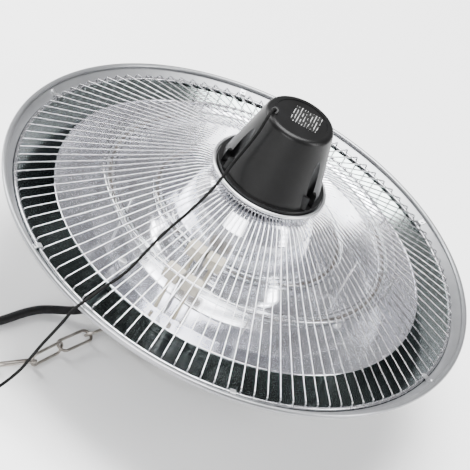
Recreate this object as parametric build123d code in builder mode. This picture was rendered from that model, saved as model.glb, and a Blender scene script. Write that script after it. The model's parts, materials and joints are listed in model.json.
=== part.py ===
from build123d import *
from math import asin, atan2, cos, degrees, pi, radians, sin, sqrt, tan
import os

# ---------------------------------------------------------------- driving dimensions (mm)
# +Z points out of the shade's mouth; z = 0 is the back housing's resting face.

# shade
rim_radius = 212.5          # outside of the rolled rim
rim_z = 118.0               # height of the rolled rim's centre
rim_bead_r = 2.3
shade_sheet = 1.0
shade_disc_r = 60.0         # flat disc that the back housing is screwed to
throat_drop = 6.8           # rim's centre down to the guard's seat
throat_in = 9.3             # rim's centre in to the guard's seat

# back housing
housing_r = 46.0
housing_height = 34.0
housing_wall = 2.5
boss_length = 5.5           # pivot boss, outward from the housing wall
boss_width = 13.0
boss_height = 13.0

# centre column and inner reflector
column_r = 15.0
column_wall = 1.5
column_top = 176.0
reflector_sheet = 0.8
reflector_edge_r = 165.5
reflector_edge_drop = 1.0    # below the rim
reflector_floor_drop = 23.0
reflector_top_r = 44.0
reflector_top_rise = 50.0    # above the rim
spacer_count = 3
spacer_r = 4.0
spacer_circle = 112.0

# guard
wire_count = 110
wire_r = 0.62
guard_ring_wire = 1.6
guard_ring_inset = 2.15     # in from the throat
mid_ring_r = 132.9
mid_wire_rise = 28.3          # wires' centre over the middle ring
mid_ring_wire = 1.1
inner_ring_r = 48.2
inner_ring_wire = 1.2
wire_top_rise = 61.0          # wires' centre under the collar plate
wire_crest_r = 62.0
wire_end_rise = 3.4         # wires' bend above the outer ring
wire_inner_r = 44.5
clip_count = 6
clip_azimuth = 45.0
touch = 0.03                # gap between pieces that rest on each other

# collar plate and cover
collar_lip = 4.4            # collar beyond the cover's wall
collar_sheet = 1.0
collar_bead_r = 1.6
cover_base_r = 45.2
cover_flange = 2.4
cover_edge = 5.0            # rounding of the cover's far edge
cover_top_r = 29.6
cover_height = 65.5
cover_wall = 2.4
lug_circle = 38.6
lug_r = 9.0
lug_height = 17.0
lug_screw_r = 4.6
lug_count = 3
lug_azimuth = -28.5

# ring lamps
lamp_rise = 18.0
outer_lamp_r = 124.0
inner_lamp_r = 82.0
lamp_tube_r = 4.6
lamp_glass = 0.9
filament_r = 1.3
lamp_gap_azimuth = -100.0   # where both lamps' ends meet
end_block = (15.0, 12.0, 9.5)
support_wire = 0.8
support_azimuths = (-66.0, 14.0, 104.0, -151.0)

# mains lead
lead_r = 3.75
gland_azimuth = -152.0
gland_z = 22.0
gland_r = 7.5
gland_length = 12.0
gland_nut_length = 8.0

# pull cord
cord_r = 1.3

# bail and chain
bail_wire = 2.2
bail_azimuth = -136.1
bail_reach = 76.4
bail_half = 56.0
bail_z = 6.6
pin_clear = 0.05
link_wire = 1.3
link_length = 41.0
link_width = 13.5
link_gap = 0.55
bail_gap = 1.4              # bail to the first link, which sits askew on it
chain_z = 6.8
link_headings = (-117.0, -114.5, -112.0, -131.0, -138.0, -142.0)
link_rolls = (58.0, -8.0, -74.0, -140.0, -26.0, -92.0)   # from lying flat

# snap hook
hook_length = 50.0
hook_width = 26.0
hook_wire = 2.5
hook_heading = -146.0
hook_roll = 14.0
gate_wire = 2.2
hook_gap = 1.3               # last link to the hook
gate_gap = 0.3

# lead's coil and plug
coil_centre = (-204.8, -132.9)
coil_outer_r = 53.6
coil_inner_r = 30.4
coil_z = 1.1
coil_height = 15.4
tie_width = 6.0
tie_azimuth = 70.0
tie_sheet = 1.0
plug_r = 19.0
plug_body_length = 24.0
plug_boot_length = 30.0
plug_boot_r = 5.4
plug_pitch = 19.5
plug_heading = 84.0
pin_r = 2.4
pin_length = 19.0
pin_pitch = 19.0

# pull knob
knob_length = 24.0
knob_r = 7.2
knob_neck_r = 3.2
knob_pitch = 16.0

os.makedirs("parts", exist_ok=True)


def save(part, name):
    part.label = name
    export_step(part, f"parts/{name}.step")


def radial(azimuth, origin=(0, 0, 0)):
    """The upright plane through the axis at an azimuth: x outward, y up."""
    a = radians(azimuth)
    return Plane(origin=origin, x_dir=(cos(a), sin(a), 0), z_dir=(sin(a), -cos(a), 0))


def turned(azimuths):
    """A turn about the axis for each azimuth."""
    return [Location((0, 0, 0), (0, 0, a)) for a in azimuths]


def spread(count, start=0.0):
    return [start + 360.0 * n / count for n in range(count)]


def toward(azimuth, length=1.0):
    return Vector(cos(radians(azimuth)), sin(radians(azimuth)), 0) * length


def corner_radii(points):
    """0.45 of the shorter run at each corner, over the tangent of half the turn."""
    points = [Vector(*p) for p in points]
    radii = []
    for before, here, after in zip(points, points[1:], points[2:]):
        into, away = here - before, after - here
        half_turn = radians(into.get_angle(away)) / 2
        radii.append(0.45 * min(into.length, away.length) / tan(half_turn))
    return radii


def report_cord(name, points, radius, part):
    radii = corner_radii(points)
    runs = [(Vector(*b) - Vector(*a)).length for a, b in zip(points, points[1:])]
    line = FilletPolyline(*points, radius=radii)
    print(f"{name}: length {line.length:.0f} mm, runs {min(runs):.0f} to {max(runs):.0f} mm")
    print("  radii", " ".join(f"{r:.0f}" for r in radii))
    print(f"  volume {part.volume:.0f} against {pi * radius**2 * line.length:.0f} mm3")


# ---------------------------------------------------------------- heights that follow the rim
reflector_edge_z = rim_z - reflector_edge_drop
reflector_floor_z = rim_z - reflector_floor_drop
reflector_top_z = rim_z + reflector_top_rise
wire_top_z = rim_z + wire_top_rise
mid_wire_z = rim_z + mid_wire_rise
lamp_z = rim_z + lamp_rise
collar_r = cover_base_r + collar_lip

# ---------------------------------------------------------------- shade shell
bead_centre_r = rim_radius - rim_bead_r
throat_r = bead_centre_r - throat_in
throat_z = rim_z - throat_drop
cone_run = throat_r - shade_disc_r
cone_rise = throat_z - housing_height
knee_r = shade_disc_r + 0.78 * cone_run
knee_z = housing_height + 0.77 * cone_rise
upper_slope = atan2(throat_z - knee_z, throat_r - knee_r)
screw_r = 2.0
screw_circle = housing_r - housing_wall - 4.5
screw_azimuths = spread(3, 30)
with BuildPart() as shade_shell:
    with BuildSketch(Plane.XZ):
        with BuildLine():
            FilletPolyline(
                (column_r + 0.2, housing_height),
                (shade_disc_r, housing_height),
                (shade_disc_r + 0.27 * cone_run, housing_height + 0.25 * cone_rise),
                (knee_r, knee_z),
                (throat_r, throat_z),
                (bead_centre_r, rim_z - rim_bead_r + 0.4),
                radius=5,
            )
            offset(amount=shade_sheet, side=Side.LEFT)
        make_face()
        with Locations((bead_centre_r, rim_z)):
            Circle(rim_bead_r)
    revolve(axis=Axis.Z)
    with Locations(*[toward(a, screw_circle) + Vector(0, 0, housing_height) for a in screw_azimuths]):
        Cylinder(screw_r + pin_clear, 6 * shade_sheet, mode=Mode.SUBTRACT)
save(shade_shell.part, "shade_shell")

# ---------------------------------------------------------------- back housing
bail_out = Plane(
    origin=(0, 0, bail_z),
    x_dir=toward(bail_azimuth),
    z_dir=(sin(radians(bail_azimuth)), -cos(radians(bail_azimuth)), 0),
)
boss_face = housing_r + boss_length
gland_plane = Plane(origin=(0, 0, gland_z), x_dir=toward(gland_azimuth + 90), z_dir=toward(gland_azimuth))
thread_r = gland_r - 1.5
with BuildPart() as back_housing:
    with BuildSketch():
        Circle(housing_r)
    extrude(amount=housing_height)
    fillet(back_housing.edges().group_by(Axis.Z)[0], radius=3)
    with BuildSketch(Plane.XY.offset(housing_wall)):
        Circle(housing_r - housing_wall)
    extrude(amount=housing_height, mode=Mode.SUBTRACT)
    for side in (1, -1):
        with BuildSketch(bail_out.offset(side * (housing_r - housing_wall + 0.5))):
            with Locations((0, boss_height / 2 - bail_z + 0.6)):
                RectangleRounded(boss_width, boss_height, 3)
        extrude(amount=side * (boss_length + housing_wall - 0.5))
        with BuildSketch(bail_out.offset(side * boss_face)):
            Circle(bail_wire + pin_clear)
        extrude(amount=-side * (boss_length - 0.8), mode=Mode.SUBTRACT)
    with BuildSketch():
        with Locations(*[toward(a, screw_circle) for a in screw_azimuths]):
            Circle(screw_r + 2.6)
    extrude(amount=housing_height)
    with BuildSketch(Plane.XY.offset(housing_height)):
        with Locations(*[toward(a, screw_circle) for a in screw_azimuths]):
            Circle(screw_r + pin_clear)
    extrude(amount=-16, mode=Mode.SUBTRACT)
    with BuildSketch(gland_plane.offset(housing_r - 3 * housing_wall)):
        Circle(thread_r + pin_clear)
    extrude(amount=4 * housing_wall, mode=Mode.SUBTRACT)
save(back_housing.part, "back_housing")

with BuildPart() as housing_screws:
    with BuildSketch(Plane.XY.offset(housing_height + shade_sheet + touch)):
        with Locations(*[toward(a, screw_circle) for a in screw_azimuths]):
            Circle(screw_r + 1.7)
    extrude(amount=2.2)
    with BuildSketch(Plane.XY.offset(housing_height + shade_sheet + touch)):
        with Locations(*[toward(a, screw_circle) for a in screw_azimuths]):
            Circle(screw_r)
    extrude(amount=-12)
save(housing_screws.part, "housing_screws")

with BuildPart() as terminal_block:
    with BuildSketch(Plane.XY.offset(housing_wall + touch)):
        with Locations((6, -4)):
            RectangleRounded(34, 17, 2)
    extrude(amount=13)
    with BuildSketch(terminal_block.faces().sort_by(Axis.Z)[-1]):
        with GridLocations(10, 9, 3, 2):
            Circle(2.2)
    extrude(amount=-5, mode=Mode.SUBTRACT)
save(terminal_block.part, "terminal_block")

with BuildPart() as terminal_screws:
    with BuildSketch(Plane.XY.offset(housing_wall + touch + 8.1)):
        with Locations((6, -4)):
            with GridLocations(10, 9, 3, 2):
                Circle(2.0)
    extrude(amount=2.6)
save(terminal_screws.part, "terminal_screws")

# ---------------------------------------------------------------- centre column
collar_z = wire_top_z + wire_r + touch
shade_inside = housing_height + shade_sheet
with BuildPart() as centre_column:
    with BuildSketch(Plane.XY.offset(shade_inside + touch)):
        Circle(column_r + 9)
    extrude(amount=2)
    with BuildSketch(Plane.XY.offset(shade_inside + touch)):
        Circle(column_r)
    extrude(until=None, amount=collar_z - shade_inside - 2 * touch)
    with BuildSketch(Plane.XY.offset(shade_inside)):
        Circle(column_r - column_wall)
    extrude(amount=collar_z, mode=Mode.SUBTRACT)
save(centre_column.part, "centre_column")

# ---------------------------------------------------------------- inner reflector
edge_bead = 0.9
spacers = spread(spacer_count, -130)
dish_from = reflector_top_r + 59
with BuildPart() as reflector_cone:
    with BuildSketch(Plane.XZ):
        with BuildLine():
            FilletPolyline(
                (column_r + 0.3, reflector_top_z),
                (reflector_top_r, reflector_top_z),
                (reflector_top_r + 9, reflector_top_z - 18),
                (reflector_top_r + 17, reflector_floor_z + 30),
                (reflector_top_r + 31, reflector_floor_z + 8),
                (reflector_top_r + 53, reflector_floor_z),
                (dish_from - touch, reflector_floor_z),
                radius=[9, 13, 13, 13, 9],
            )
            offset(amount=reflector_sheet, side=Side.RIGHT)
        make_face()
    revolve(axis=Axis.Z)
save(reflector_cone.part, "reflector_cone")

with BuildPart() as reflector_dish:
    with BuildSketch(Plane.XZ):
        with BuildLine():
            FilletPolyline(
                (dish_from, reflector_floor_z),
                (reflector_edge_r - 41, reflector_floor_z),
                (reflector_edge_r - 18, reflector_edge_z - 10),
                (reflector_edge_r, reflector_edge_z),
                radius=13,
            )
            offset(amount=reflector_sheet, side=Side.RIGHT)
        make_face()
        with Locations((reflector_edge_r, reflector_edge_z)):
            Circle(edge_bead)
    revolve(axis=Axis.Z)
    with BuildSketch(Plane.XY.offset(reflector_floor_z - 3)):
        with Locations(*[toward(a, spacer_circle) for a in spacers]):
            Circle(screw_r - 0.3)
    extrude(amount=6, mode=Mode.SUBTRACT)
save(reflector_dish.part, "reflector_dish")

spacer_foot_r = spacer_circle + spacer_r
cone_r0 = shade_disc_r + 0.27 * cone_run
cone_z0 = housing_height + 0.25 * cone_rise
lower_slope = (knee_z - cone_z0) / (knee_r - cone_r0)
spacer_foot_z = (
    cone_z0 + (spacer_foot_r - cone_r0) * lower_slope + shade_sheet * sqrt(1 + lower_slope**2) + 0.2
)
with BuildPart() as reflector_spacers:
    with BuildSketch(Plane.XY.offset(spacer_foot_z)):
        with Locations(*[toward(a, spacer_circle) for a in spacers]):
            Circle(spacer_r)
            Circle(screw_r - 0.3, mode=Mode.SUBTRACT)
    extrude(amount=reflector_floor_z - reflector_sheet - touch - spacer_foot_z)
save(reflector_spacers.part, "reflector_spacers")

with BuildPart() as spacer_screws:
    with BuildSketch(Plane.XY.offset(reflector_floor_z + touch)):
        with Locations(*[toward(a, spacer_circle) for a in spacers]):
            Circle(screw_r + 1.4)
    extrude(amount=1.8)
    fillet(spacer_screws.faces().group_by(Axis.Z)[-1].edges(), radius=0.9)
    with BuildSketch(Plane.XY.offset(reflector_floor_z + touch)):
        with Locations(*[toward(a, spacer_circle) for a in spacers]):
            Circle(screw_r - 0.35)
    extrude(amount=-14)
save(spacer_screws.part, "spacer_screws")

# ---------------------------------------------------------------- guard
guard_ring_r = throat_r - guard_ring_inset
guard_ring_z = (
    throat_z
    - guard_ring_inset * tan(upper_slope)
    + (shade_sheet + guard_ring_wire + touch) / cos(upper_slope)
)
inner_slope = atan2(wire_top_z - 0.4 - mid_wire_z, mid_ring_r - wire_crest_r)
mid_ring_z = mid_wire_z - (wire_r + mid_ring_wire + touch) / cos(inner_slope)
ring_top = guard_ring_z + guard_ring_wire + touch
with BuildPart() as one_wire:
    with BuildLine() as wire_line:
        FilletPolyline(
            (wire_inner_r, 0, wire_top_z),
            (wire_crest_r, 0, wire_top_z - 0.4),
            (mid_ring_r, 0, mid_wire_z),
            (guard_ring_r, 0, ring_top + wire_end_rise),
            (guard_ring_r, 0, ring_top),
            radius=[26, 8, 3.2],
        )
    with BuildSketch(Plane(origin=wire_line.line @ 0, z_dir=wire_line.line % 0)):
        Circle(wire_r)
    sweep(path=wire_line.line)
with BuildPart() as guard_wires:
    with Locations(*turned(spread(wire_count))):
        add(one_wire.part)
save(guard_wires.part, "guard_wires")

with BuildPart() as guard_outer_ring:
    with BuildSketch(Plane.XZ):
        with Locations((guard_ring_r, guard_ring_z)):
            Circle(guard_ring_wire)
    revolve(axis=Axis.Z)
save(guard_outer_ring.part, "guard_outer_ring")

with BuildPart() as guard_middle_ring:
    with BuildSketch(Plane.XZ):
        with Locations((mid_ring_r, mid_ring_z)):
            Circle(mid_ring_wire)
    revolve(axis=Axis.Z)
save(guard_middle_ring.part, "guard_middle_ring")

with BuildPart() as guard_inner_ring:
    with BuildSketch(Plane.XZ):
        with Locations((inner_ring_r, wire_top_z - wire_r - inner_ring_wire - 0.15)):
            Circle(inner_ring_wire)
    revolve(axis=Axis.Z)
save(guard_inner_ring.part, "guard_inner_ring")

with BuildPart() as guard_seat:
    with BuildSketch(Plane.XY.offset(wire_top_z - wire_r - 0.1)):
        Circle(inner_ring_r - inner_ring_wire - 0.3)
        Circle(column_r + 0.2, mode=Mode.SUBTRACT)
    extrude(amount=-1.2)
save(guard_seat.part, "guard_seat")

skirt_slope = atan2(throat_drop - rim_bead_r + 0.4, throat_in)
clip_sheet = 0.8
foot_lift = (shade_sheet + clip_sheet / 2 + touch) / cos(skirt_slope)
clip_top = guard_ring_z + guard_ring_wire + clip_sheet / 2 + 0.1
clip_in = guard_ring_r - guard_ring_wire - clip_sheet / 2 - 0.15
wire_pitch = 360 / wire_count
clip_azimuths = [(round(a / wire_pitch) + 0.5) * wire_pitch for a in spread(clip_count, clip_azimuth)]
foot_from = throat_r + 1.5
foot_to = throat_r + 6.3
with BuildPart() as one_clip:
    with BuildSketch(Plane.XZ):
        with BuildLine():
            FilletPolyline(
                (clip_in, guard_ring_z - 0.5),
                (clip_in, clip_top),
                (guard_ring_r + guard_ring_wire + 0.9, clip_top),
                (foot_from, throat_z + 1.5 * tan(skirt_slope) + foot_lift),
                (foot_to, throat_z + 6.3 * tan(skirt_slope) + foot_lift),
                radius=0.5,
            )
        trace(line_width=clip_sheet)
    extrude(amount=2.4, both=True)
with BuildPart() as rim_clips:
    with Locations(*turned(clip_azimuths)):
        add(one_clip.part)
save(rim_clips.part, "rim_clips")

rivet_at = throat_r + 4.6
rivet_plane = Plane(
    origin=(rivet_at, 0, throat_z + 4.6 * tan(skirt_slope) + foot_lift),
    x_dir=(0, 1, 0),
    z_dir=(-sin(skirt_slope), 0, cos(skirt_slope)),
)
with BuildPart() as one_rivet:
    with BuildSketch(rivet_plane.offset(clip_sheet / 2 + touch)):
        Circle(1.5)
    extrude(amount=0.9)
    fillet(one_rivet.faces().sort_by(Axis.Z)[-1].edges(), radius=0.5)
with BuildPart() as clip_rivets:
    with Locations(*turned(clip_azimuths)):
        add(one_rivet.part)
save(clip_rivets.part, "clip_rivets")

# ---------------------------------------------------------------- ring lamps
block_run, block_wide, block_high = end_block
end_plate = 1.0
block_gap = 0.9
plate_lift = {outer_lamp_r: 4.8, inner_lamp_r: 12.5}    # the reflector curves up under both


def lamp_gap(radius):
    """Half the angle that the two end blocks and the plate between them take."""
    return degrees((end_plate / 2 + block_gap + block_run + 0.5) / radius)


def ring_tube(radius, outer, inner, extra=0.0):
    start = lamp_gap_azimuth + lamp_gap(radius) + extra
    with BuildPart() as tube:
        with BuildSketch(radial(start)):
            with Locations((radius, lamp_z)):
                Circle(outer)
                if inner:
                    Circle(inner, mode=Mode.SUBTRACT)
        revolve(axis=Axis.Z, revolution_arc=360 - 2 * (lamp_gap(radius) + extra))
    return tube.part


save(ring_tube(outer_lamp_r, lamp_tube_r, lamp_tube_r - lamp_glass), "outer_lamp_tube")
save(ring_tube(inner_lamp_r, lamp_tube_r, lamp_tube_r - lamp_glass), "inner_lamp_tube")
save(ring_tube(outer_lamp_r, filament_r, 0, 2.0), "outer_filament")
save(ring_tube(inner_lamp_r, filament_r, 0, 3.0), "inner_filament")

with BuildPart() as lamp_ends:
    for lamp_r in (outer_lamp_r, inner_lamp_r):
        for side in (1, -1):
            angle = lamp_gap_azimuth + side * degrees((end_plate / 2 + block_gap + block_run / 2) / lamp_r)
            with BuildSketch(
                Plane(origin=toward(angle, lamp_r) + Vector(0, 0, lamp_z), x_dir=toward(angle), z_dir=(0, 0, 1))
            ):
                RectangleRounded(block_wide, block_run, 1.5)
            extrude(amount=block_high / 2, both=True)
save(lamp_ends.part, "lamp_ends")

with BuildPart() as end_plates:
    for lamp_r in (outer_lamp_r, inner_lamp_r):
        plate_z = reflector_floor_z + plate_lift[lamp_r]
        foot = toward(lamp_gap_azimuth, lamp_r) + Vector(0, 0, plate_z)
        with BuildSketch(Plane(origin=foot, x_dir=toward(lamp_gap_azimuth), z_dir=(0, 0, 1))):
            Rectangle(block_wide + 2, end_plate)
        extrude(amount=lamp_z + block_high / 2 + 3 - plate_z)
save(end_plates.part, "end_plates")

with BuildPart() as lamp_wires:
    for lamp_r in (outer_lamp_r, inner_lamp_r):
        wire_foot = reflector_floor_z + plate_lift[lamp_r] - 2.5
        for side in (1, -1):
            angle = lamp_gap_azimuth + side * degrees((end_plate / 2 + block_gap + block_run / 2) / lamp_r)
            with BuildSketch(Plane(origin=toward(angle, lamp_r) + Vector(0, 0, wire_foot))):
                Circle(1.6)
            extrude(amount=lamp_z - block_high / 2 - touch - wire_foot)
save(lamp_wires.part, "lamp_wires")

loop_r = lamp_tube_r + support_wire + 0.3
bar_z = lamp_z - loop_r
leg_r = (outer_lamp_r + inner_lamp_r) / 2
with BuildPart() as one_support:
    with Locations((outer_lamp_r, 0, lamp_z), (inner_lamp_r, 0, lamp_z)):
        Torus(loop_r, support_wire, rotation=(90, 0, 0))
    with Locations((leg_r, 0, bar_z)):
        Cylinder(support_wire, outer_lamp_r - inner_lamp_r, rotation=(0, 90, 0))
    with BuildSketch(Plane.XY.offset(reflector_floor_z + touch)):
        with Locations((leg_r, 0)):
            Circle(support_wire)
    extrude(amount=bar_z - reflector_floor_z)
with BuildPart() as lamp_supports:
    with Locations(*turned(support_azimuths)):
        add(one_support.part)
save(lamp_supports.part, "lamp_supports")

# ---------------------------------------------------------------- collar plate and cover
cover_z = collar_z + collar_sheet
with BuildPart() as collar_plate:
    with BuildSketch(Plane.XZ):
        with BuildLine():
            Polyline(
                (8, collar_z),
                (collar_r, collar_z),
                (collar_r, cover_z),
                (8, cover_z),
                close=True,
            )
        make_face()
        with Locations((collar_r, collar_z + collar_bead_r)):
            Circle(collar_bead_r)
    revolve(axis=Axis.Z)
save(collar_plate.part, "collar_plate")

with BuildPart() as column_nut:
    with BuildSketch(Plane.XY.offset(cover_z + touch)):
        RegularPolygon(12, 6)
        Circle(8, mode=Mode.SUBTRACT)
    extrude(amount=6)
    chamfer(column_nut.faces().sort_by(Axis.Z)[-1].outer_wire().edges(), length=0.8)
save(column_nut.part, "column_nut")

taper = (cover_base_r - cover_top_r) / cover_height
cover_top_z = cover_z + touch + cover_height
lug_floor = 5.0
lugs = [toward(a, lug_circle) for a in spread(lug_count, lug_azimuth)]
bushing_at = Vector(-21.5, -9.5, cover_top_z - 0.4)
bushing_dir = Vector(-0.1, -0.6, 0.79)
bushing_r = 3.0
bushing_plane = Plane(origin=bushing_at, z_dir=bushing_dir)
with BuildPart() as cover_cavity:
    with BuildSketch(Plane.XZ):
        with BuildLine():
            Polyline(
                (0, cover_z),
                (cover_base_r - cover_wall, cover_z),
                (cover_top_r - cover_wall, cover_top_z - cover_wall - 0.6),
                (0, cover_top_z - cover_wall - 0.6),
                close=True,
            )
        make_face()
    revolve(axis=Axis.Z)
    with BuildSketch(Plane.XY.offset(cover_z)):
        with Locations(*lugs):
            Circle(lug_screw_r + cover_wall)
    extrude(amount=cover_height, mode=Mode.SUBTRACT)
with BuildPart() as hub_cover:
    with BuildSketch(Plane.XZ):
        with BuildLine():
            Polyline(
                (0, cover_z + touch),
                (cover_base_r + cover_flange, cover_z + touch),
                (cover_base_r + cover_flange - 0.3, cover_z + 4.6),
                (cover_base_r - 4.6 * taper, cover_z + 4.6),
                (cover_top_r, cover_top_z),
                (0, cover_top_z),
                close=True,
            )
        make_face()
    revolve(axis=Axis.Z)
    with BuildSketch(Plane.XY.offset(cover_z + touch)):
        with Locations(*lugs):
            Circle(lug_r)
    extrude(amount=lug_height, taper=4)
    with BuildSketch(Plane.XY.offset(cover_z + lug_floor)):
        with Locations(*lugs):
            Circle(lug_screw_r)
    extrude(amount=cover_height, mode=Mode.SUBTRACT)
    with BuildSketch(Plane.XY.offset(cover_z + lug_floor)):
        with Locations(*turned(spread(lug_count, lug_azimuth))):
            with Locations((lug_circle + lug_r, 0)):
                Rectangle(2 * lug_r, 2 * lug_screw_r - 1)
    extrude(amount=cover_height, mode=Mode.SUBTRACT)
    add(cover_cavity.part, mode=Mode.SUBTRACT)
    fillet(hub_cover.faces().sort_by(Axis.Z)[-1].edges(), radius=cover_edge)
    with BuildSketch(Plane.XY.offset(cover_top_z)):
        Circle(cover_top_r - cover_edge - 1)
    extrude(amount=-0.6, mode=Mode.SUBTRACT)
    with BuildSketch(Plane.XY.offset(cover_z)):
        with Locations(*lugs):
            Circle(1.8)
    extrude(amount=lug_floor + 1, mode=Mode.SUBTRACT)
    with BuildSketch(bushing_plane.offset(-5)):
        Circle(bushing_r + 0.05)
    extrude(amount=11, mode=Mode.SUBTRACT)
save(hub_cover.part, "hub_cover")

with BuildPart() as cover_screws:
    with BuildSketch(Plane.XY.offset(cover_z + lug_floor + touch)):
        with Locations(*lugs):
            Circle(3.3)
    extrude(amount=2.2)
    fillet(cover_screws.faces().group_by(Axis.Z)[-1].edges(), radius=1.2)
    with BuildSketch(Plane.XY.offset(cover_z + lug_floor + touch)):
        with Locations(*lugs):
            Circle(1.6)
    extrude(amount=-(lug_floor - 0.1))
save(cover_screws.part, "cover_screws")

with BuildPart() as rating_plate:
    with BuildSketch(Plane.XY.offset(cover_top_z - 0.6 + touch)):
        with Locations((4, 3)):
            RectangleRounded(24, 24, 1.5)
    extrude(amount=0.3)
save(rating_plate.part, "rating_plate")

with BuildPart() as cord_bushing:
    with BuildSketch(bushing_plane.offset(-3.6)):
        Circle(bushing_r)
        Circle(cord_r + 0.1, mode=Mode.SUBTRACT)
    extrude(amount=6.4)
save(cord_bushing.part, "cord_bushing")
bushing_mouth = bushing_at + bushing_dir.normalized() * 2.8

# ---------------------------------------------------------------- pull switch inside the cover
switch_at = Vector(4, 16, cover_z + touch)
lever_pin = Vector(-9, -6, cover_z + 30)
with BuildPart() as switch_base:
    with BuildSketch(Plane.XY.offset(cover_z + touch)):
        with Locations((0, -18)):
            RectangleRounded(30, 12, 2)
    extrude(amount=2)
    with BuildSketch(Plane.XY.offset(cover_z + 2)):
        with Locations((0, -22)):
            Rectangle(24, 2)
    extrude(amount=36)
save(switch_base.part, "switch_base")

with BuildPart() as switch_body:
    with BuildSketch(Plane.XY.offset(cover_z + 14)):
        with Locations((2, -13.9)):
            RectangleRounded(22, 14, 1.5)
    extrude(amount=22)
    with BuildSketch(Plane.XZ.offset(6.9)):
        with Locations((lever_pin.X, lever_pin.Z)):
            Circle(2.5)
    extrude(amount=-7)
    with BuildSketch(Plane.XZ.offset(7)):
        with Locations((lever_pin.X + 1, lever_pin.Z)):
            Rectangle(6, 8)
    extrude(amount=3)
save(switch_body.part, "switch_body")

with BuildPart() as switch_lever:
    with BuildSketch(Plane.XZ.offset(5.9)):
        with Locations((lever_pin.X, lever_pin.Z)):
            Circle(5)
        with Locations((lever_pin.X - 7, lever_pin.Z)):
            Rectangle(14, 5)
        with Locations((lever_pin.X, lever_pin.Z)):
            Circle(2.5 + pin_clear, mode=Mode.SUBTRACT)
        with Locations((lever_pin.X - 12, lever_pin.Z)):
            Circle(1.4, mode=Mode.SUBTRACT)
    extrude(amount=-4)
save(switch_lever.part, "switch_lever")

# ---------------------------------------------------------------- bail
with BuildPart() as bail:
    with BuildLine(Plane(origin=(0, 0, bail_z), x_dir=toward(bail_azimuth), z_dir=(0, 0, 1))):
        FilletPolyline(
            (0, boss_face - boss_length + 1),
            (0, bail_half),
            (bail_reach - bail_half, bail_half),
            radius=bail_wire + 1.8,
        )
        ThreePointArc(
            (bail_reach - bail_half, bail_half), (bail_reach, 0), (bail_reach - bail_half, -bail_half)
        )
        bail_line = FilletPolyline(
            (bail_reach - bail_half, -bail_half),
            (0, -bail_half),
            (0, -(boss_face - boss_length + 1)),
            radius=bail_wire + 1.8,
        )
    with BuildSketch(Plane(origin=bail_line @ 1, z_dir=bail_line % 1)):
        Circle(bail_wire)
    sweep()
save(bail.part, "bail")
bail_apex = toward(bail_azimuth, bail_reach) + Vector(0, 0, bail_z)


# ---------------------------------------------------------------- chain
def rolled(centre, heading, roll, pitch=0.0):
    """The plane a link lies in: x along its heading, turned about it from lying flat."""
    along = (toward(heading) + Vector(0, 0, tan(radians(pitch)))).normalized()
    right = toward(heading - 90)
    normal = right.cross(along) * cos(radians(roll)) + right * sin(radians(roll))
    return Plane(origin=centre, x_dir=along, z_dir=normal)


def oval_ring(plane, length, width, wire):
    end_r = width / 2 - wire
    half = length / 2 - wire - end_r
    with BuildPart() as ring:
        with BuildLine(plane) as outline:
            Line((-half, -end_r), (half, -end_r))
            ThreePointArc((half, -end_r), (half + end_r, 0), (half, end_r))
            Line((half, end_r), (-half, end_r))
            ThreePointArc((-half, end_r), (-half - end_r, 0), (-half, -end_r))
        with BuildSketch(Plane(origin=plane.from_local_coords((0, -end_r, 0)), z_dir=plane.x_dir)):
            Circle(wire)
        sweep(path=outline.wire())
    return ring.part


link_reach = link_length / 2 - link_wire
centre = bail_apex + Vector(0, 0, chain_z - bail_z)
centre += toward(link_headings[0], link_reach - link_wire - bail_wire - bail_gap)
pivots = [bail_apex]
for number, (heading, roll) in enumerate(zip(link_headings, link_rolls), 1):
    save(oval_ring(rolled(centre, heading, roll), link_length, link_width, link_wire), f"chain_link_{number}")
    gap = link_gap if number < len(link_headings) else hook_gap
    pivot = centre + toward(heading, link_reach - link_wire - gap / 2)
    pivots.append(pivot)
    if number < len(link_headings):
        centre = pivot + toward(link_headings[number], link_reach - link_wire - link_gap / 2)

hook_reach = hook_length / 2 - hook_wire
hook_end_r = hook_width / 2 - hook_wire
hook_half = hook_reach - hook_end_r
hook_plane = rolled((0, 0, 0), hook_heading, hook_roll, -3)
hook_centre = pivots[-1] + hook_plane.x_dir * (hook_reach - hook_wire - hook_gap / 2)
hook_plane = rolled(hook_centre, hook_heading, hook_roll, -3)
tongue = 0.8
gate_pin_x = -hook_half + 3.2
nose_x = hook_half - 3.0
with BuildPart() as snap_hook:
    with BuildLine(hook_plane):
        ThreePointArc((-hook_half, hook_end_r), (-hook_reach, 0), (-hook_half, -hook_end_r))
        Line((-hook_half, -hook_end_r), (hook_half, -hook_end_r))
        ThreePointArc((hook_half, -hook_end_r), (hook_reach, 0), (hook_half, hook_end_r))
        hook_line = Line((hook_half, hook_end_r), (nose_x, hook_end_r))
    with BuildSketch(Plane(origin=hook_line @ 1, z_dir=hook_line % 1)):
        Circle(hook_wire)
    sweep()
    with BuildSketch(hook_plane):
        with Locations(((gate_pin_x - hook_half - 0.5) / 2, hook_end_r)):
            Rectangle(gate_pin_x + hook_half + 0.5, 2 * gate_wire)
        with Locations((gate_pin_x, hook_end_r)):
            Circle(gate_wire)
            Circle(0.92, mode=Mode.SUBTRACT)
    extrude(amount=tongue, both=True)
save(snap_hook.part, "snap_hook")

with BuildPart() as hook_gate:
    with BuildSketch(Plane(origin=hook_plane.from_local_coords((gate_pin_x + 3, hook_end_r, 0)), z_dir=hook_plane.x_dir)):
        Circle(gate_wire)
    extrude(amount=nose_x - gate_gap - gate_pin_x - 3)
    for side in (1, -1):
        with BuildSketch(hook_plane.offset(side * (tongue + 0.1))):
            with Locations((gate_pin_x + 1.6, hook_end_r)):
                Rectangle(3.2, 2 * gate_wire - 1.2)
            with Locations((gate_pin_x, hook_end_r)):
                Circle(gate_wire)
            with Locations((gate_pin_x, hook_end_r)):
                Circle(0.95, mode=Mode.SUBTRACT)
        extrude(amount=side * 1.2)
save(hook_gate.part, "hook_gate")

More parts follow.
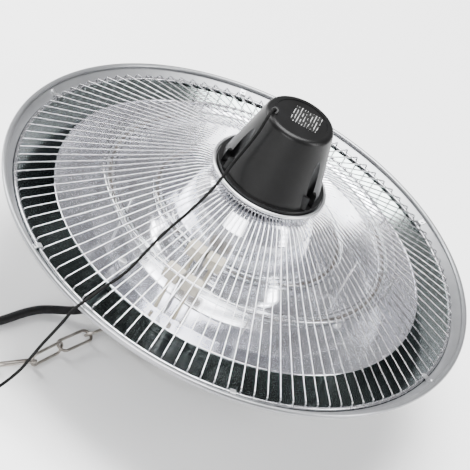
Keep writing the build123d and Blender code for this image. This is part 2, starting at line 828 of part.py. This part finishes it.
with BuildPart() as gate_pin:
    with BuildSketch(hook_plane.offset(-tongue - 1.5)):
        with Locations((gate_pin_x, hook_end_r)):
            Circle(0.9)
    extrude(amount=2 * tongue + 3)
save(gate_pin.part, "gate_pin")

# ---------------------------------------------------------------- mains lead
cap_from = boss_face - boss_length + gland_length - gland_nut_length + 6
with BuildPart() as gland_body:
    with BuildSketch(gland_plane.offset(housing_r - housing_wall - 6)):
        Circle(thread_r)
    extrude(amount=housing_wall + 10)
    with BuildSketch(gland_plane.offset(housing_r + touch)):
        RegularPolygon(gland_r + 1.2, 6)
    extrude(amount=cap_from - housing_r - touch)
save(gland_body.part, "gland_body")

with BuildPart() as gland_lock_nut:
    with BuildSketch(gland_plane.offset(housing_r - housing_wall - 1.2)):
        RegularPolygon(gland_r + 1.5, 6)
        Circle(thread_r + pin_clear, mode=Mode.SUBTRACT)
    extrude(amount=-3)
save(gland_lock_nut.part, "gland_lock_nut")

with BuildPart() as gland_cap:
    with BuildSketch(gland_plane.offset(cap_from + touch)):
        Circle(gland_r)
    extrude(amount=gland_nut_length, taper=9)
    fillet(gland_cap.edges().sort_by(lambda e: e.center().dot(toward(gland_azimuth)))[-1], radius=1.5)
    with BuildSketch(gland_plane.offset(cap_from + gland_nut_length + touch)):
        Circle(lead_r + 0.1)
    extrude(amount=-2, mode=Mode.SUBTRACT)
save(gland_cap.part, "gland_cap")

lead_start = gland_plane.origin + gland_plane.z_dir * (cap_from + gland_nut_length + touch - 2)
lead_points = [
    tuple(lead_start),
    (-67.0, -41.0, 20.2),
    (-78.0, -55.0, 13.6),
    (-90.0, -65.0, 8.4),
    (-104.0, -71.0, 5.1),
    (-116.0, -80.0, 4.0),
    (-126.0, -94.5, 3.8),
    (-133.5, -109.5, 3.8),
    (-142.0, -124.0, 3.8),
    (-150.0, -138.0, 3.9),
    (-158.5, -152.0, 4.2),
]
tail_points = [
    (-254.3, -139.0, 12.3),
    (-254.6, -126.0, 11.2),
    (-253.2, -113.0, 7.6),
    (-251.6, -100.0, 5.0),
    (-250.0, -88.5, 5.4),
]


def cord(points, radius):
    with BuildPart() as tube:
        with BuildLine() as route:
            FilletPolyline(*points, radius=corner_radii(points))
        with BuildSketch(Plane(origin=route.line @ 0, z_dir=route.line % 0)):
            Circle(radius)
        sweep(path=route.line)
    return tube.part


mains_lead = cord(lead_points, lead_r)
report_cord("mains_lead", lead_points, lead_r, mains_lead)
save(mains_lead, "mains_lead")
lead_tail = cord(tail_points, lead_r)
report_cord("lead_tail", tail_points, lead_r, lead_tail)
save(lead_tail, "lead_tail")

coil_mid_r = (coil_outer_r + coil_inner_r) / 2
coil_width = coil_outer_r - coil_inner_r
coil_axis = Plane(origin=(*coil_centre, coil_z + coil_height / 2))
with BuildPart() as lead_coil:
    with BuildSketch(coil_axis * Plane.XZ):
        with Locations((coil_mid_r, 0)):
            RectangleRounded(coil_width, coil_height, lead_r)
    revolve(axis=Axis(coil_axis.origin, (0, 0, 1)))
save(lead_coil.part, "lead_coil")

with BuildPart() as coil_tie:
    with BuildSketch(radial(tie_azimuth, coil_axis.origin)):
        with Locations((coil_mid_r, 0)):
            RectangleRounded(
                coil_width + 2 * tie_sheet + 0.4, coil_height + 2 * tie_sheet + 0.1, lead_r + tie_sheet
            )
            RectangleRounded(coil_width + 0.4, coil_height + 0.1, lead_r, mode=Mode.SUBTRACT)
    extrude(amount=tie_width / 2, both=True)
save(coil_tie.part, "coil_tie")

plug_axis = (toward(plug_heading) + Vector(0, 0, tan(radians(plug_pitch)))).normalized()
plug_plane = Plane(origin=tail_points[-1], x_dir=toward(plug_heading - 90), z_dir=plug_axis)
with BuildPart() as plug_boot:
    with BuildSketch(plug_plane):
        Circle(plug_boot_r)
    with BuildSketch(plug_plane.offset(plug_boot_length)):
        RectangleRounded(22, 17, 6)
    loft()
save(plug_boot.part, "plug_boot")

with BuildPart() as plug_body:
    with BuildSketch(plug_plane.offset(plug_boot_length + touch)):
        Circle(plug_r - 6)
    with BuildSketch(plug_plane.offset(plug_boot_length + touch + 9)):
        Circle(plug_r)
    loft()
    with BuildSketch(plug_plane.offset(plug_boot_length + touch + 9)):
        Circle(plug_r)
        with Locations((0, plug_r), (0, -plug_r)):
            RectangleRounded(7, 5, 1, mode=Mode.SUBTRACT)
    extrude(amount=plug_body_length - 9)
    with BuildSketch(plug_plane.offset(plug_boot_length + touch + plug_body_length)):
        with Locations((pin_pitch / 2, 0), (-pin_pitch / 2, 0)):
            Circle(pin_r + 0.02)
    extrude(amount=-12, mode=Mode.SUBTRACT)
save(plug_body.part, "plug_body")

with BuildPart() as plug_pins:
    with BuildSketch(plug_plane.offset(plug_boot_length + plug_body_length - 11.5)):
        with Locations((pin_pitch / 2, 0), (-pin_pitch / 2, 0)):
            Circle(pin_r)
    extrude(amount=11.5 + pin_length)
    fillet(
        plug_pins.edges().group_by(lambda e: round(e.center().dot(plug_axis), 2))[-1], radius=pin_r - 0.6
    )
save(plug_pins.part, "plug_pins")

with BuildPart() as plug_earth_clips:
    with BuildSketch(plug_plane.offset(plug_boot_length + touch + 10)):
        with Locations((0, plug_r - 1.8), (0, -plug_r + 1.8)):
            Rectangle(4, 1)
    extrude(amount=plug_body_length - 11)
save(plug_earth_clips.part, "plug_earth_clips")

# ---------------------------------------------------------------- pull cord
pull_points = [
    tuple(bushing_at + bushing_dir.normalized() * 1.3),
    (-22.8, -14.5, 251.2),
    (-23.6, -20.4, 251.5),
    (-24.4, -26.4, 247.0),
    (-24.6, -30.2, 238.0),
    (-26.0, -33.0, 227.0),
    (-28.6, -35.5, 213.0),
    (-31.2, -38.6, 200.0),
    (-33.0, -45.6, 190.5),
    (-34.4, -54.8, 186.0),
    (-37.0, -66.0, 181.0),
    (-40.6, -78.0, 174.2),
    (-45.2, -92.0, 167.6),
    (-51.0, -107.0, 160.4),
    (-55.6, -124.0, 152.4),
    (-59.4, -141.0, 144.6),
    (-63.8, -157.0, 137.2),
    (-71.0, -172.0, 131.4),
    (-76.6, -187.0, 127.6),
    (-80.6, -198.0, 125.4),
    (-84.4, -206.6, 120.2),
    (-86.2, -209.4, 110.0),
    (-89.4, -209.0, 95.0),
    (-93.4, -207.4, 77.0),
    (-96.6, -206.2, 58.0),
    (-99.6, -206.6, 42.0),
    (-104.8, -208.6, 28.0),
    (-110.4, -211.4, 16.0),
    (-114.6, -216.4, 6.6),
    (-117.2, -224.6, 2.2),
    (-118.4, -234.0, 1.6),
    (-118.0, -243.0, 2.6),
]
pull_cord = cord(pull_points, cord_r)
report_cord("pull_cord", pull_points, cord_r, pull_cord)
save(pull_cord, "pull_cord")

knob_dir = Vector(0.03, -1, tan(radians(knob_pitch))).normalized()
knob_plane = Plane(origin=pull_points[-1], x_dir=(1, 0, 0), z_dir=knob_dir)
with BuildPart() as pull_knob:
    with BuildSketch(knob_plane):
        Circle(knob_neck_r - 1.3)
    with BuildSketch(knob_plane.offset(6)):
        Circle(knob_neck_r + 0.9)
    with BuildSketch(knob_plane.offset(knob_length - 5)):
        Circle(knob_r)
    with BuildSketch(knob_plane.offset(knob_length)):
        Circle(knob_r - 1.6)
    loft()
save(pull_knob.part, "pull_knob")

for name, pivot in zip(("bail apex", *(f"link {n}" for n in range(1, 7))), pivots):
    print(f"pivot {name}: {pivot.X:.3f} {pivot.Y:.3f} {pivot.Z:.3f}")
for name, point in (
    ("gate pin", hook_plane.from_local_coords((gate_pin_x, hook_end_r, 0))),
    ("gate axis", hook_plane.z_dir),
    ("hook centre", hook_centre),
    ("lever pin", lever_pin),
    ("bushing mouth", bushing_mouth),
    ("lead start", lead_start),
    ("plug face", plug_plane.origin + plug_axis * (plug_boot_length + plug_body_length)),
    ("plug axis", plug_axis),
):
    print(f"{name}: {point.X:.4f} {point.Y:.4f} {point.Z:.4f}")
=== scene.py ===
import bmesh
import bpy
import json
from math import cos, pi, radians, sin
from mathutils import Matrix, Vector


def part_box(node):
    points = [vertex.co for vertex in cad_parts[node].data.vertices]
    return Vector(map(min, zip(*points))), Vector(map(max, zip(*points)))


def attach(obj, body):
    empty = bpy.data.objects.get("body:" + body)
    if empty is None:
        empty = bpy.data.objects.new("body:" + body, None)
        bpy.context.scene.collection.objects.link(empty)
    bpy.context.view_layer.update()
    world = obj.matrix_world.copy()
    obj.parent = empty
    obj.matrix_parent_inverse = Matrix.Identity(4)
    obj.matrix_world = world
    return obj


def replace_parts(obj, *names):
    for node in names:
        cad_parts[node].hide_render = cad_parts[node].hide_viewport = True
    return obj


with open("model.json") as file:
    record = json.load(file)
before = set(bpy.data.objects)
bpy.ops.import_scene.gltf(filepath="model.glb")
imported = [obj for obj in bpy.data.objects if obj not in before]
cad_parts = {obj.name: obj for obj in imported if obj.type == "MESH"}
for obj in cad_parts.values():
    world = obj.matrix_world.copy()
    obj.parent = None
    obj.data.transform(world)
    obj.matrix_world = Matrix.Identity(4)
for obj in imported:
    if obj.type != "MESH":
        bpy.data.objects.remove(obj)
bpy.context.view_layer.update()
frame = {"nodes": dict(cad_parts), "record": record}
nodes = frame["nodes"]
scene = bpy.context.scene

# ------------------------------------------------------------ camera
camera_data = bpy.data.cameras.new("studio_camera")
camera_data.lens = 199.9
camera_data.sensor_width = 36
camera_data.clip_end = 20
camera = bpy.data.objects.new("studio_camera", camera_data)
camera.location = (0, -1.7955, 1.3893)
camera.rotation_euler = (0.88907, -0.40280, 0.30891)
scene.collection.objects.link(camera)
scene.camera = camera


# ------------------------------------------------------------ cords
def cord_curve(name, points, radius):
    """A round cord on one smooth line through the air over its points."""
    data = bpy.data.curves.new(name, "CURVE")
    data.dimensions = "3D"
    line = data.splines.new("NURBS")
    line.points.add(len(points) - 1)
    for point, place in zip(line.points, points):
        point.co = (*place, 1)
    line.order_u = 3
    line.use_endpoint_u = True
    line.resolution_u = 6
    data.bevel_depth = radius
    data.bevel_resolution = 4
    data.use_fill_caps = True
    piece = bpy.data.objects.new(name, data)
    scene.collection.objects.link(piece)
    return piece


def eased(t):
    t = min(max(t, 0), 1)
    return t * t * (3 - 2 * t)


# the lead's coil, with turns counted from where the lead joins it
coil_centre = (-0.2048, -0.1329)
coil_start = radians(-25)
coil_outer_turn = 0.0496
coil_pitch = 0.0076
coil_low = 0.0050
coil_high = 0.0126
coil_length = 5.43          # turns
turns_below = 3             # on the floor, with the rest on top of them
climb_start = 2.62          # where the lead climbs
shift_share = 0.24          # of a turn, for a climb or for a move to the next row
points_per_turn = 16


def lead_turns():
    """Rows of turns, inward along the bottom and back outward on top of them."""
    points = []
    for k in range(1, int(coil_length * points_per_turn) + 1):
        t = k / points_per_turn
        row = int(t) + eased((t % 1 - 1 + shift_share) / shift_share)
        if t < turns_below:
            inward = min(row, turns_below - 1)
        else:
            inward = max(2 * turns_below - 1 - row, 0)
        radius = coil_outer_turn - coil_pitch * inward
        angle = coil_start - 2 * pi * t
        x = coil_centre[0] + radius * cos(angle)
        y = coil_centre[1] + radius * sin(angle)
        z = coil_low + (coil_high - coil_low) * eased((t - climb_start) / shift_share)
        points.append((x, y, z))
    return points


lead_route = [
    (-0.05477, -0.02912, 0.0220),
    (-0.0670, -0.0410, 0.0202),
    (-0.0780, -0.0550, 0.0136),
    (-0.0900, -0.0650, 0.0084),
    (-0.1040, -0.0710, 0.0051),
    (-0.1160, -0.0800, 0.0040),
    (-0.1260, -0.0945, 0.0038),
    (-0.1335, -0.1095, 0.0038),
    (-0.1420, -0.1240, 0.0038),
    (-0.1500, -0.1380, 0.0039),
    (-0.1585, -0.1520, 0.0042),
]
tail_route = [
    (-0.2546, -0.1260, 0.0112),
    (-0.2532, -0.1130, 0.0076),
    (-0.2516, -0.1000, 0.0050),
    (-0.2500, -0.0885, 0.0054),
]
mains_lead = cord_curve("mains_lead_cord", lead_route + lead_turns() + tail_route, 0.00375)

pull_route = [
    (-0.02163, -0.01028, 0.24709),
    (-0.0228, -0.0145, 0.2512),
    (-0.0236, -0.0204, 0.2515),
    (-0.0244, -0.0264, 0.2470),
    (-0.0246, -0.0302, 0.2380),
    (-0.0260, -0.0330, 0.2270),
    (-0.0286, -0.0355, 0.2130),
    (-0.0312, -0.0386, 0.2000),
    (-0.0330, -0.0456, 0.1905),
    (-0.0344, -0.0548, 0.1860),
    (-0.0370, -0.0660, 0.1810),
    (-0.0406, -0.0780, 0.1742),
    (-0.0452, -0.0920, 0.1676),
    (-0.0510, -0.1070, 0.1604),
    (-0.0556, -0.1240, 0.1524),
    (-0.0594, -0.1410, 0.1446),
    (-0.0638, -0.1570, 0.1372),
    (-0.0710, -0.1720, 0.1314),
    (-0.0766, -0.1870, 0.1276),
    (-0.0806, -0.1980, 0.1254),
    (-0.0844, -0.2066, 0.1202),
    (-0.0862, -0.2094, 0.1100),
    (-0.0894, -0.2090, 0.0950),
    (-0.0934, -0.2074, 0.0770),
    (-0.0966, -0.2062, 0.0580),
    (-0.0996, -0.2066, 0.0420),
    (-0.1048, -0.2086, 0.0280),
    (-0.1104, -0.2114, 0.0160),
    (-0.1146, -0.2164, 0.0066),
    (-0.1172, -0.2246, 0.0022),
    (-0.1184, -0.2340, 0.0016),
    (-0.1180, -0.2430, 0.0026),
]
pull_cord = cord_curve("pull_cord_braid", pull_route, 0.0013)

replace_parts(mains_lead, "mains_lead", "lead_coil", "lead_tail")
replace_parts(pull_cord, "pull_cord")


# ------------------------------------------------------------ finishes
class Finish:
    """A material being put together, with its surface shader to hand."""

    def __init__(self, name):
        self.material = bpy.data.materials.new(name)
        self.material.use_nodes = True
        self.tree = self.material.node_tree
        self.surface = self.tree.nodes["Principled BSDF"]
        self.place = self.tree.nodes.new("ShaderNodeTexCoord").outputs["Object"]

    def add(self, kind, values=None, **links):
        node = self.tree.nodes.new("ShaderNode" + kind)
        for key, value in (values or {}).items():
            if key in node.inputs:
                node.inputs[key].default_value = value
            else:
                setattr(node, key, value)
        for key, socket in links.items():
            self.tree.links.new(socket, node.inputs[key.replace("_", " ")])
        return node

    def link(self, socket, name):
        self.tree.links.new(socket, self.surface.inputs[name])

    def set(self, **values):
        for key, value in values.items():
            self.surface.inputs[key.replace("_", " ")].default_value = value
        return self

    def noise(self, scale, detail=4.0, place=None):
        made = self.add("TexNoise", {"Scale": scale, "Detail": detail}, Vector=place or self.place)
        return made.outputs["Fac"]

    def ramp(self, fac, low, high, dark, light):
        node = self.add("ValToRGB", Fac=fac)
        node.color_ramp.elements[0].position = low
        node.color_ramp.elements[1].position = high
        node.color_ramp.elements[0].color = (*dark, 1)
        node.color_ramp.elements[1].color = (*light, 1)
        return node.outputs["Color"]

    def grey(self, fac, low, high, dark, light):
        return self.ramp(fac, low, high, (dark,) * 3, (light,) * 3)

    def bump(self, height, strength, distance=0.0005):
        node = self.add("Bump", {"Strength": strength, "Distance": distance}, Height=height)
        self.link(node.outputs["Normal"], "Normal")

    def math(self, operation, a, b):
        node = self.add("Math", {"operation": operation})
        for socket, value in zip(node.inputs, (a, b)):
            if isinstance(value, (int, float)):
                socket.default_value = value
            else:
                self.tree.links.new(value, socket)
        return node.outputs[0]

    def radius(self):
        """Distance out from the head's axis."""
        parts = self.add("SeparateXYZ", Vector=self.place).outputs
        along_x = self.math("MULTIPLY", parts[0], parts[0])
        along_y = self.math("MULTIPLY", parts[1], parts[1])
        return self.math("SQRT", self.math("ADD", along_x, along_y), 0)


def moulded_black(name, shade, roughness, grain):
    f = Finish(name)
    light = (shade * 1.7, shade * 1.7, shade * 1.85)
    f.link(f.ramp(f.noise(60), 0.3, 0.75, (shade,) * 3, light), "Base Color")
    f.link(f.grey(f.noise(25, 6), 0.3, 0.7, roughness - 0.05, roughness + 0.08), "Roughness")
    f.bump(f.noise(grain, 3), 0.12, 0.0002)
    return f.set(Specular_IOR_Level=0.2).material


def bare_metal(name, dark, light, roughness, spread, grain, strength, scale=40):
    f = Finish(name)
    f.set(Metallic=1.0)
    f.link(f.ramp(f.noise(scale, 5), 0.3, 0.7, dark, light), "Base Color")
    f.link(f.grey(f.noise(scale * 2.3, 6), 0.3, 0.7, roughness, roughness + spread), "Roughness")
    f.bump(f.noise(grain, 2), strength, 0.0002)
    return f.material


def spun_aluminium():
    """Polished sheet spun on a lathe, with fine rings left by the tool."""
    f = Finish("spun_aluminium")
    f.set(Metallic=1.0)
    rings = f.math("SINE", f.math("MULTIPLY", f.radius(), 3600), 0)
    f.link(f.ramp(f.noise(7, 1), 0.3, 0.7, (0.64, 0.645, 0.69), (0.76, 0.765, 0.80)), "Base Color")
    f.link(f.grey(f.noise(12, 2), 0.3, 0.7, 0.13, 0.20), "Roughness")
    f.bump(rings, 0.05, 0.0002)
    return f.material


def shade_sheet():
    """Grey satin skirt outside and at the mouth, dark polished metal inside the guard."""
    f = Finish("shade_sheet")
    normal = f.tree.nodes["Texture Coordinate"].outputs["Normal"]
    up = f.add("SeparateXYZ", Vector=normal).outputs[2]
    inside = f.math("MULTIPLY", f.math("LESS_THAN", f.radius(), 0.2009), f.math("GREATER_THAN", up, 0.05))
    skirt = f.ramp(f.noise(35, 5), 0.3, 0.7, (0.24, 0.245, 0.255), (0.29, 0.295, 0.305))
    deep = f.ramp(f.noise(5, 1), 0.3, 0.7, (0.23, 0.26, 0.26), (0.30, 0.34, 0.33))
    colour = f.add("Mix", {"data_type": "RGBA"})
    f.tree.links.new(inside, colour.inputs[0])
    f.tree.links.new(skirt, colour.inputs[6])
    f.tree.links.new(deep, colour.inputs[7])
    f.link(colour.outputs[2], "Base Color")
    f.link(f.math("ADD", f.math("MULTIPLY", inside, 0.25), 0.75), "Metallic")
    f.link(f.math("SUBTRACT", 0.32, f.math("MULTIPLY", inside, 0.20)), "Roughness")
    rings = f.math("SINE", f.math("MULTIPLY", f.radius(), 4200), 0)
    f.bump(f.math("ADD", rings, f.math("MULTIPLY", f.noise(700, 3), 0.4)), 0.06, 0.0002)
    return f.material


def clear_glass():
    f = Finish("clear_glass")
    f.set(Transmission_Weight=1.0, IOR=1.46)
    f.link(f.ramp(f.noise(80), 0.3, 0.7, (0.93, 0.95, 0.96), (1, 1, 1)), "Base Color")
    f.link(f.grey(f.noise(300, 4), 0.4, 0.8, 0.0, 0.06), "Roughness")
    return f.material


def fired_clay(name, dark, light):
    f = Finish(name)
    f.link(f.ramp(f.noise(180, 6), 0.3, 0.7, dark, light), "Base Color")
    f.link(f.grey(f.noise(90, 4), 0.3, 0.7, 0.55, 0.75), "Roughness")
    f.bump(f.noise(1400, 4), 0.3, 0.0003)
    return f.material


def braid(name, shade, scale):
    f = Finish(name)
    cells = f.add("TexVoronoi", {"Scale": scale, "feature": "F1"}, Vector=f.place).outputs["Distance"]
    f.link(f.grey(cells, 0.1, 0.7, shade * 2.4, shade), "Base Color")
    f.link(f.grey(f.noise(500), 0.3, 0.7, 0.55, 0.8), "Roughness")
    f.bump(cells, 0.6, 0.0003)
    return f.set(Specular_IOR_Level=0.12).material


def printed_plate():
    """Black plate with pale bars standing in for print."""
    f = Finish("printed_plate")
    parts = f.add("SeparateXYZ", Vector=f.place).outputs
    rows = f.math("LESS_THAN", f.math("PINGPONG", parts[0], 0.0013), 0.00033)
    along = f.add("Mapping", {"Scale": (1400, 210, 1)}, Vector=f.place).outputs[0]
    words = f.math("GREATER_THAN", f.noise(1.0, 0, along), 0.5)
    f.link(f.grey(f.math("MULTIPLY", rows, words), 0.3, 0.6, 0.006, 0.36), "Base Color")
    f.link(f.grey(f.noise(120), 0.3, 0.7, 0.28, 0.4), "Roughness")
    return f.material


black_cover = moulded_black("black_cover", 0.0025, 0.34, 2600)
black_rubber = moulded_black("black_rubber", 0.008, 0.5, 1500)
zinc_plate = bare_metal("zinc_plate", (0.52, 0.53, 0.55), (0.70, 0.70, 0.71), 0.26, 0.16, 900, 0.1)
guard_chrome = bare_metal("guard_chrome", (0.42, 0.42, 0.44), (0.56, 0.56, 0.58), 0.18, 0.12, 500, 0.05, 90)
chain_steel = bare_metal("chain_steel", (0.26, 0.235, 0.21), (0.44, 0.41, 0.375), 0.28, 0.2, 700, 0.2, 70)
bright_brass = bare_metal("bright_brass", (0.60, 0.45, 0.20), (0.78, 0.62, 0.33), 0.25, 0.2, 800, 0.1)
pin_nickel = bare_metal("pin_nickel", (0.60, 0.58, 0.54), (0.76, 0.74, 0.70), 0.18, 0.14, 700, 0.06)
dark_coil = bare_metal("dark_coil", (0.10, 0.08, 0.07), (0.22, 0.18, 0.15), 0.4, 0.2, 2000, 0.1, 200)
ceramic = fired_clay("ceramic", (0.44, 0.40, 0.32), (0.58, 0.54, 0.45))
glass_sleeve = fired_clay("glass_sleeve", (0.42, 0.37, 0.26), (0.62, 0.57, 0.45))
finishes = {
    "shade_paint": shade_sheet(),
    "reflector": spun_aluminium(),
    "guard": guard_chrome,
    "cover_black": black_cover,
    "zinc": zinc_plate,
    "lamp_glass": clear_glass(),
    "filament": dark_coil,
    "ceramic": ceramic,
    "sleeving": glass_sleeve,
    "lead_black": black_rubber,
    "cord_black": braid("black_braid", 0.0016, 1500),
    "chain_steel": chain_steel,
    "label": printed_plate(),
    "brass": bright_brass,
    "pin_nickel": pin_nickel,
}
for part in frame["record"]["subparts"]:
    body = nodes[part["node"]].data
    body.materials.clear()
    body.materials.append(finishes[part["material_slot"]])


def finish_piece(piece, body, slot):
    """Gives a new piece its finish and the body it goes with."""
    if not piece.data.materials:
        piece.data.materials.append(finishes[slot])
    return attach(piece, body)


finish_piece(mains_lead, "fixture", "lead_black")
finish_piece(pull_cord, "fixture", "cord_black")


# ------------------------------------------------------------ pieces with finer detail
def settle(piece_name, shape):
    """Turns a finished bmesh into a piece in the scene."""
    bmesh.ops.remove_doubles(shape, verts=shape.verts, dist=1e-6)
    bmesh.ops.recalc_face_normals(shape, faces=shape.faces)
    mesh = bpy.data.meshes.new(piece_name)
    shape.to_mesh(mesh)
    shape.free()
    for face in mesh.polygons:
        face.use_smooth = True
    mesh.set_sharp_from_angle(angle=radians(35))
    piece = bpy.data.objects.new(piece_name, mesh)
    scene.collection.objects.link(piece)
    return piece


def turn_on_lathe(shape, profile, steps=32):
    """Spins (radius, height) points about Z."""
    verts = [shape.verts.new((r, 0, z)) for r, z in profile]
    edges = [shape.edges.new(pair) for pair in zip(verts, verts[1:])]
    bmesh.ops.spin(
        shape, geom=verts + edges, axis=(0, 0, 1), cent=(0, 0, 0), angle=2 * pi, steps=steps, use_merge=True
    )


def placed(shape, start_count, matrix):
    """Moves every vertex made since start_count."""
    shape.verts.ensure_lookup_table()
    bmesh.ops.transform(shape, matrix=matrix, verts=shape.verts[start_count:])


def stand_at(point, direction=(0, 0, 1), roll=0.0):
    turn = Vector(direction).to_track_quat("Z", "Y").to_matrix().to_4x4()
    return Matrix.Translation(point) @ turn @ Matrix.Rotation(roll, 4, "Z")


# ring lamps: where their ends meet, and the height and size of the wound wire
lamp_middle = radians(-100)
filament_height = 0.136
winding_radius = 0.0011
winding_wire = 0.00022
winding_pitch = 0.0016
points_per_winding = 7


def wound_filament(name, ring_radius, gap):
    """A fine wire wound into a long coil that follows the lamp round."""
    data = bpy.data.curves.new(name, "CURVE")
    data.dimensions = "3D"
    line = data.splines.new("POLY")
    turns = int(ring_radius * (2 * pi - 2 * gap) / winding_pitch)
    steps = turns * points_per_winding
    line.points.add(steps)
    for k, point in enumerate(line.points):
        around = lamp_middle + gap + (2 * pi - 2 * gap) * k / steps
        twist = 2 * pi * k / points_per_winding
        out = ring_radius + winding_radius * cos(twist)
        point.co = (out * cos(around), out * sin(around), filament_height + winding_radius * sin(twist), 1)
    data.bevel_depth = winding_wire
    data.bevel_resolution = 1
    piece = bpy.data.objects.new(name, data)
    scene.collection.objects.link(piece)
    return piece


for lamp, ring_radius, gap in (("outer", 0.124, 0.150), ("inner", 0.082, 0.236)):
    coil = wound_filament(f"{lamp}_wound_filament", ring_radius, gap)
    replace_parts(finish_piece(coil, "fixture", "filament"), f"{lamp}_filament")

# lead's tapered sleeve, ribbed where it bends
gland_mouth = (-0.05600, -0.02990, 0.0219)
gland_heading = (-0.60, -0.66, -0.165)
sleeve_shape = bmesh.new()
sleeve_profile = [(0.0039, 0.0260)]
for rib in range(7):
    z = 0.0255 - 0.0034 * rib
    r = 0.0044 + 0.00028 * rib
    sleeve_profile += [(r + 0.0004, z), (r + 0.0004, z - 0.0018)]
    sleeve_profile += [(r - 0.0002, z - 0.0021), (r - 0.0002, z - 0.0031)]
sleeve_profile += [(0.0066, 0.0012), (0.0066, 0.0), (0.0039, 0.0)]
turn_on_lathe(sleeve_shape, sleeve_profile, 28)
bmesh.ops.transform(sleeve_shape, matrix=stand_at(gland_mouth, gland_heading), verts=sleeve_shape.verts)
finish_piece(settle("lead_sleeve", sleeve_shape), "fixture", "lead_black")

# domed screw head: shares of its radius and of its height, from the recess outward
SCREW_HEAD = [(0.30, 0.55), (0.36, 1.0), (0.72, 0.92), (0.95, 0.6), (1.0, 0.2), (1.0, 0)]


def crossed_screws(name, places, head, height, axis=(0, 0, 1)):
    """Screws with a domed head and a crossed recess."""
    shape = bmesh.new()
    for place in places:
        before = len(shape.verts)
        profile = [(head * out, height * up) for out, up in SCREW_HEAD]
        turn_on_lathe(shape, [(0.00001, height * 0.55), *profile, (0.00001, 0)], 24)
        placed(shape, before, stand_at(place, axis))
        for turn in (0, pi / 2):
            before = len(shape.verts)
            bmesh.ops.create_cube(shape, size=1)
            blade = Matrix.Diagonal((head * 1.15, head * 0.2, height * 0.05, 1))
            placed(shape, before, stand_at(Vector(place) + Vector(axis) * height, axis, turn + 0.4) @ blade)
    return settle(name, shape)


lug_circle = 0.0386
head_radius = 0.0034
head_height = 0.0023
head_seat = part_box("cover_screws")[1].z - head_height
lug_places = []
for azimuth in (-28.5, 91.5, 211.5):
    turn = radians(azimuth)
    lug_places.append((lug_circle * cos(turn), lug_circle * sin(turn), head_seat))
cover_heads = crossed_screws("cover_screw_heads", lug_places, head_radius, head_height)
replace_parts(finish_piece(cover_heads, "fixture", "zinc"), "cover_screws")

# ------------------------------------------------------------ studio
floor_shape = bmesh.new()
bmesh.ops.create_grid(floor_shape, x_segments=1, y_segments=1, size=4)
floor_mesh = bpy.data.meshes.new("studio_floor")
floor_shape.to_mesh(floor_mesh)
floor_shape.free()
floor = bpy.data.objects.new("studio_floor", floor_mesh)
scene.collection.objects.link(floor)
floor_paint = Finish("studio_floor")
floor_paint.link(floor_paint.grey(floor_paint.noise(2), 0.3, 0.7, 0.93, 0.94), "Base Color")
floor_paint.set(Roughness=0.9)
floor_mesh.materials.append(floor_paint.material)


def soft_light(name, place, target, size, power):
    data = bpy.data.lights.new(name, "AREA")
    data.shape = "RECTANGLE"
    data.size, data.size_y = size
    data.energy = power
    light = bpy.data.objects.new(name, data)
    light.location = place
    light.rotation_euler = (Vector(target) - Vector(place)).to_track_quat("-Z", "Y").to_euler()
    scene.collection.objects.link(light)


soft_light("overhead_box", (-0.3, 0.2, 2.6), (0, 0, 0), (1.8, 1.8), 240)
soft_light("left_box", (-2.1, 0.6, 1.3), (0, 0, 0.1), (0.7, 2.0), 90)
soft_light("right_box", (2.2, -0.3, 1.2), (0, 0, 0.1), (0.5, 1.8), 55)
soft_light("front_box", (-0.5, -2.6, 1.0), (0, 0, 0.1), (1.6, 0.7), 55)
world = bpy.data.worlds.new("studio_air")
world.use_nodes = True
world.node_tree.nodes["Background"].inputs["Color"].default_value = (1, 1, 1, 1)
world.node_tree.nodes["Background"].inputs["Strength"].default_value = 0.36
scene.world = world
